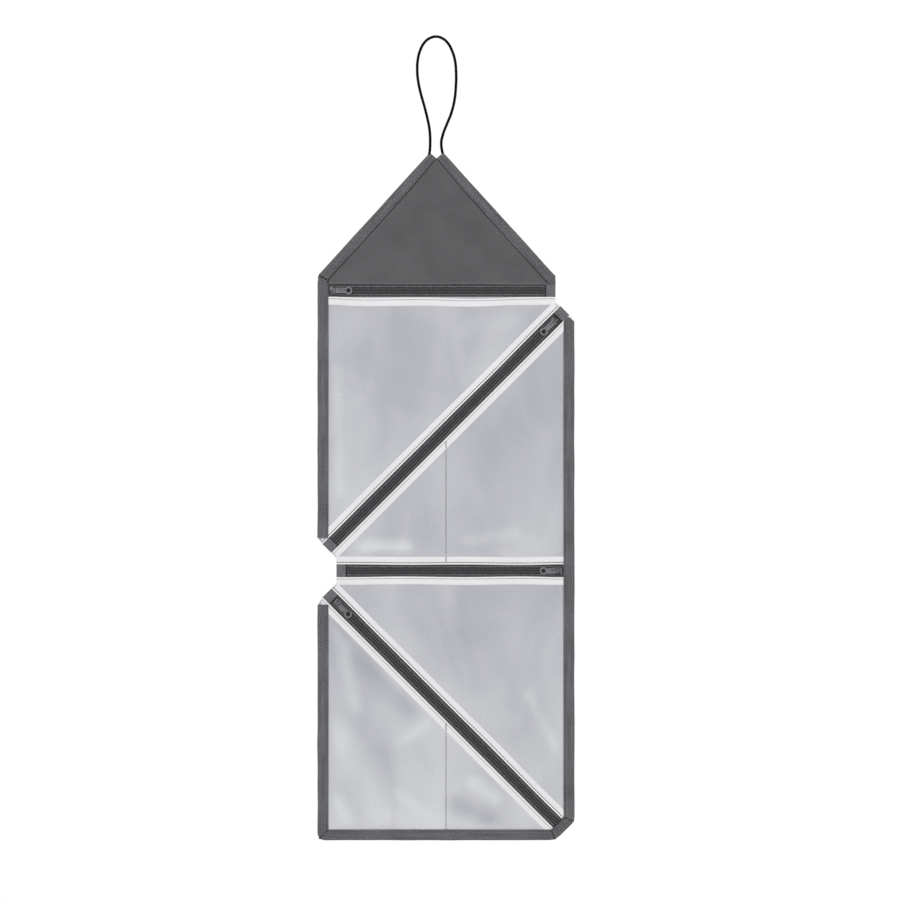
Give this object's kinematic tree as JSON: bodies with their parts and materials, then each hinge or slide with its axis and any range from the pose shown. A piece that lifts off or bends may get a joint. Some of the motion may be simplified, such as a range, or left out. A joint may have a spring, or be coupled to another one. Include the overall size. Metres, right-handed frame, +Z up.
{
  "type": "travel jewelry case",
  "caption": "Hanging fold-up jewelry case: bound canvas panels with triangular frosted film zip pockets, a pointed flap and an elastic cord loop.",
  "frame": {"origin": "inside top of the hanging loop, in the middle plane of the canvas", "axes": "+Z up, +X to the right seen from the front, the front faces -Y"},
  "size_m": [0.244, 0.0064, 0.7646],
  "materials": {
    "canvas": "plain woven canvas",
    "binding": "woven tape",
    "film": "frosted film",
    "tape": "ribbed zip tape",
    "coil": "nylon coil",
    "metal": "satin grey",
    "thread": "sewing thread",
    "cord": "braided elastic"
  },
  "bodies": {
    "flap": {"hang_cord": "cord", "flap_canvas": "canvas", "flap_binding_left": "binding", "flap_binding_right": "binding"},
    "upper_left_panel": {"canvas_upper_left": "canvas", "film_upper_left": "film", "binding_left_upper": "binding", "top_zip_tapes": "tape", "top_zip_coils": "coil", "top_zip_tab": "binding", "upper_zip_tapes": "tape", "upper_zip_coils": "coil", "upper_zip_tabs": "binding"},
    "upper_right_panel": {"canvas_upper_right": "canvas", "film_upper_right": "film", "binding_right_upper": "binding", "seam_upper_right": "thread"},
    "lower_right_panel": {"canvas_lower_right": "canvas", "film_lower_right": "film", "binding_right_lower": "binding", "binding_corner": "binding", "middle_zip_tapes": "tape", "middle_zip_coils": "coil", "middle_zip_tab": "binding", "lower_zip_tapes": "tape", "lower_zip_coils": "coil", "lower_zip_tab": "binding"},
    "lower_left_panel": {"canvas_lower_left": "canvas", "film_lower_left": "film", "binding_left_lower": "binding", "binding_bottom": "binding", "seam_lower_left": "thread"},
    "top_zip_slider": {"top_zip_slider": "metal"},
    "top_zip_pull": {"top_zip_pull": "metal"},
    "upper_zip_slider": {"upper_zip_slider": "metal"},
    "upper_zip_pull": {"upper_zip_pull": "metal"},
    "middle_zip_slider": {"middle_zip_slider": "metal"},
    "middle_zip_pull": {"middle_zip_pull": "metal"},
    "lower_zip_slider": {"lower_zip_slider": "metal"},
    "lower_zip_pull": {"lower_zip_pull": "metal"}
  },
  "joints": [
    {"name": "flap_fold", "type": "hinge", "parent": "flap", "child": "upper_left_panel", "pos_m": [0, -0.01, -0.234], "axis": [-1, 0, 0], "range_deg": [0, 179.9]},
    {"name": "upper_diagonal_fold", "type": "hinge", "parent": "upper_left_panel", "child": "upper_right_panel", "pos_m": [0.01324, -0.0038, -0.37624], "axis": [-0.7071, 0, -0.7071], "range_deg": [0, 179.9]},
    {"name": "middle_fold", "type": "hinge", "parent": "upper_right_panel", "child": "lower_right_panel", "pos_m": [0.009, 0.00095, -0.5], "axis": [1, 0, 0], "range_deg": [0, 179.9]},
    {"name": "lower_diagonal_fold", "type": "hinge", "parent": "lower_right_panel", "child": "lower_left_panel", "pos_m": [0.00476, -0.0038, -0.64424], "axis": [-0.7071, 0, 0.7071], "range_deg": [0, 179.9]},
    {"name": "top_zip_slide", "type": "slide", "parent": "upper_left_panel", "child": "top_zip_slider", "axis": [1, 0, 0], "range_m": [0, 0.195]},
    {"name": "top_pull_swing", "type": "hinge", "parent": "top_zip_slider", "child": "top_zip_pull", "pos_m": [-0.097, -0.00405, -0.24], "axis": [0, 0, -1], "range_deg": [0, 180]},
    {"name": "upper_zip_slide", "type": "slide", "parent": "upper_left_panel", "child": "upper_zip_slider", "axis": [-0.7071, 0, -0.7071], "range_m": [0, 0.28961]},
    {"name": "upper_pull_swing", "type": "hinge", "parent": "upper_zip_slider", "child": "upper_zip_pull", "pos_m": [0.11139, -0.00405, -0.26961], "axis": [-0.7071, 0, 0.7071], "range_deg": [0, 180]},
    {"name": "middle_zip_slide", "type": "slide", "parent": "lower_right_panel", "child": "middle_zip_slider", "axis": [-1, 0, 0], "range_m": [0, 0.195]},
    {"name": "middle_pull_swing", "type": "hinge", "parent": "middle_zip_slider", "child": "middle_zip_pull", "pos_m": [0.115, -0.00405, -0.506], "axis": [0, 0, 1], "range_deg": [0, 180]},
    {"name": "lower_zip_slide", "type": "slide", "parent": "lower_right_panel", "child": "lower_zip_slider", "axis": [0.7071, 0, -0.7071], "range_m": [0, 0.28921]},
    {"name": "lower_pull_swing", "type": "hinge", "parent": "lower_zip_slider", "child": "lower_zip_pull", "pos_m": [-0.09339, -0.00405, -0.53761], "axis": [-0.7071, 0, -0.7071], "range_deg": [0, 180]}
  ]
}
